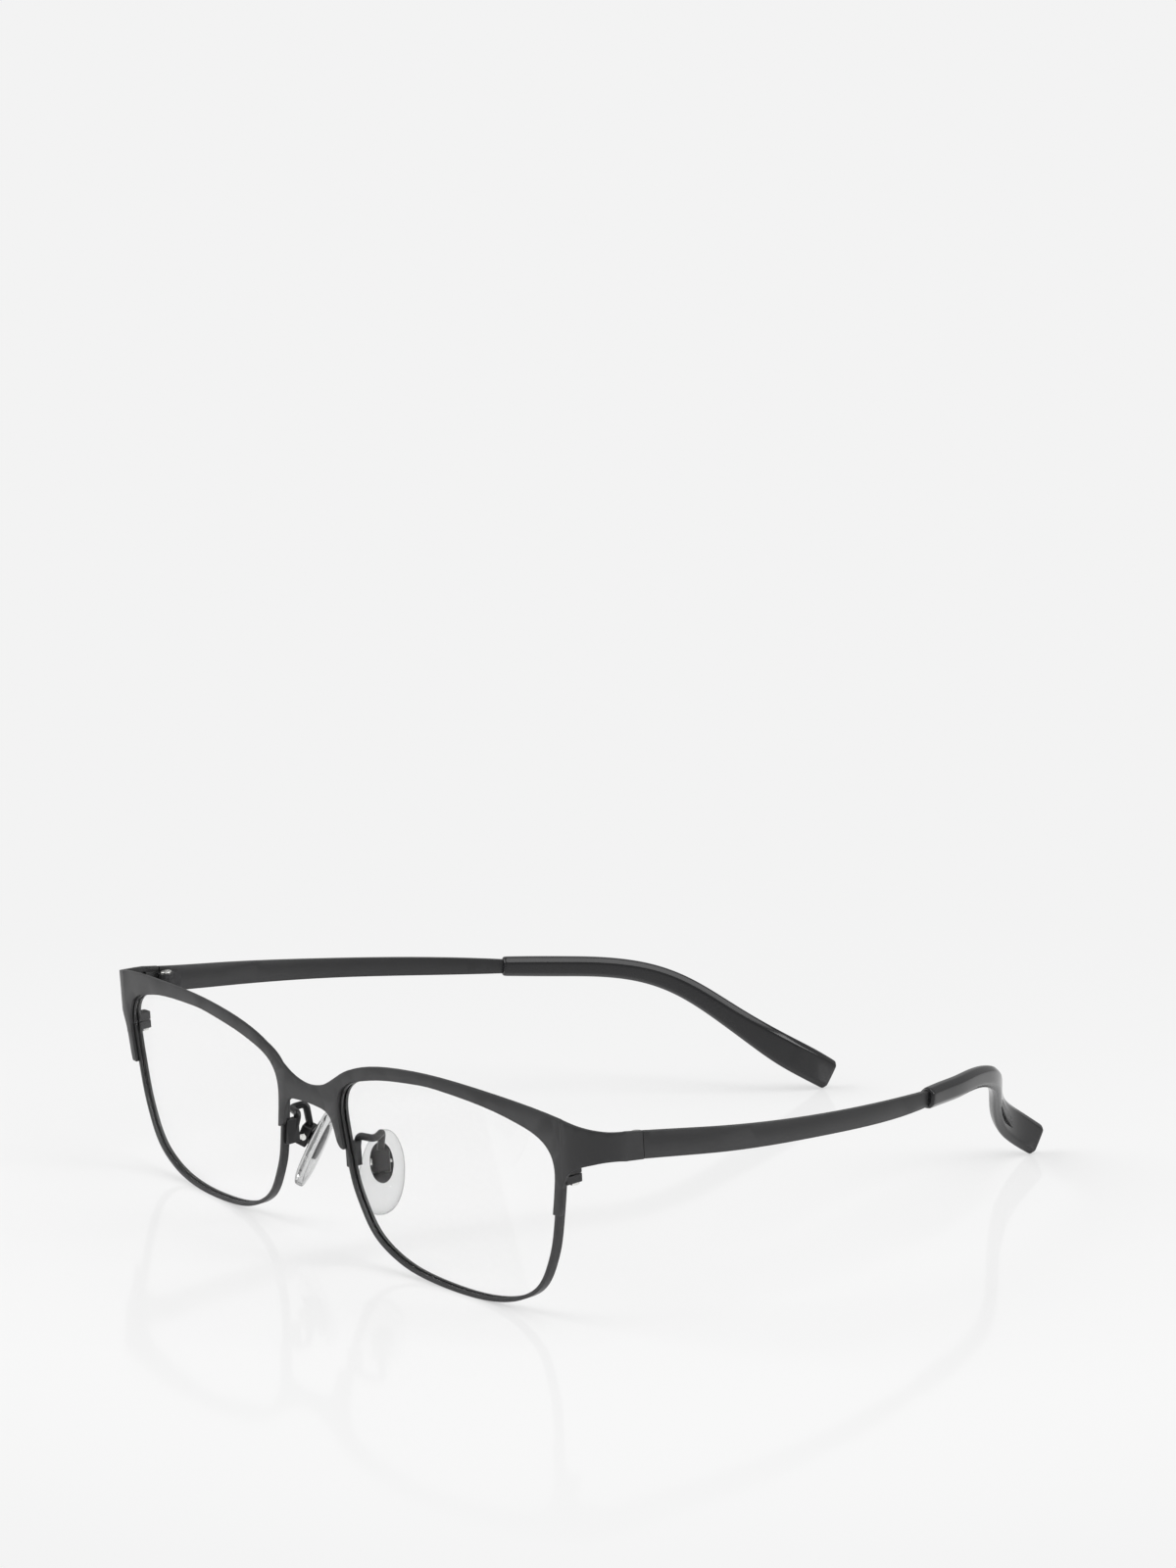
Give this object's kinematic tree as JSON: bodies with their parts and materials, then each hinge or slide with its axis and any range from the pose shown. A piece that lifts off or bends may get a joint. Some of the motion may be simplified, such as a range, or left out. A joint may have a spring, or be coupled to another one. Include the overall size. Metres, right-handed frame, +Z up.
{
  "type": "eyeglass frame",
  "caption": "Metal eyeglass frame with a folded brow sheet, thin lower rims, nose pads on wire arms, flat folding temples and curved plastic ear tips.",
  "frame": {"origin": "on the table below the middle of the bounding box; the lower rims and the rear ends of the ear tips touch the table", "axes": "+Z up, -Y the way the wearer looks, +X to the wearer's left"},
  "size_m": [0.1434, 0.1414, 0.037],
  "materials": {
    "frame": "matte",
    "hinge": "satin",
    "arm": "satin",
    "screw": "polished",
    "insert": "satin",
    "tip": "gloss",
    "pad": "translucent",
    "lens": "polished"
  },
  "bodies": {
    "front": {"brow_front": "frame", "left_eyewire": "frame", "left_lens": "lens", "left_rim_lock_upper": "frame", "left_rim_lock_lower": "frame", "left_rim_lock_screw": "screw", "left_front_hinge_leaf": "hinge", "left_hinge_screw": "screw", "left_pad_arm": "arm", "left_pad_box": "arm", "left_pad_screw": "screw", "right_eyewire": "frame", "right_lens": "lens", "right_rim_lock_upper": "frame", "right_rim_lock_lower": "frame", "right_rim_lock_screw": "screw", "right_front_hinge_leaf": "hinge", "right_hinge_screw": "screw", "right_pad_arm": "arm", "right_pad_box": "arm", "right_pad_screw": "screw"},
    "left_temple_arm": {"left_temple": "frame", "left_temple_tip": "tip", "left_temple_hinge_leaf": "hinge"},
    "left_pad": {"left_nose_pad": "pad", "left_pad_insert": "insert"},
    "right_temple_arm": {"right_temple": "frame", "right_temple_tip": "tip", "right_temple_hinge_leaf": "hinge"},
    "right_pad": {"right_nose_pad": "pad", "right_pad_insert": "insert"}
  },
  "joints": [
    {"name": "left_temple_fold", "type": "hinge", "parent": "front", "child": "left_temple_arm", "pos_m": [0.0685, -0.05349, 0.03088], "axis": [0, -0.0769, 0.997], "range_deg": [0, 75]},
    {"name": "right_temple_fold", "type": "hinge", "parent": "front", "child": "right_temple_arm", "pos_m": [-0.0685, -0.05349, 0.03088], "axis": [0, 0.0769, -0.997], "range_deg": [0, 69]},
    {"name": "left_pad_rock", "type": "hinge", "parent": "front", "child": "left_pad", "pos_m": [0.01105, -0.06284, 0.01636], "axis": [0.5876, 0.8042, 0.0893], "range_deg": [-10, 10]},
    {"name": "right_pad_rock", "type": "hinge", "parent": "front", "child": "right_pad", "pos_m": [-0.01105, -0.06284, 0.01636], "axis": [0.5876, -0.8042, -0.0893], "range_deg": [-10, 10]}
  ]
}
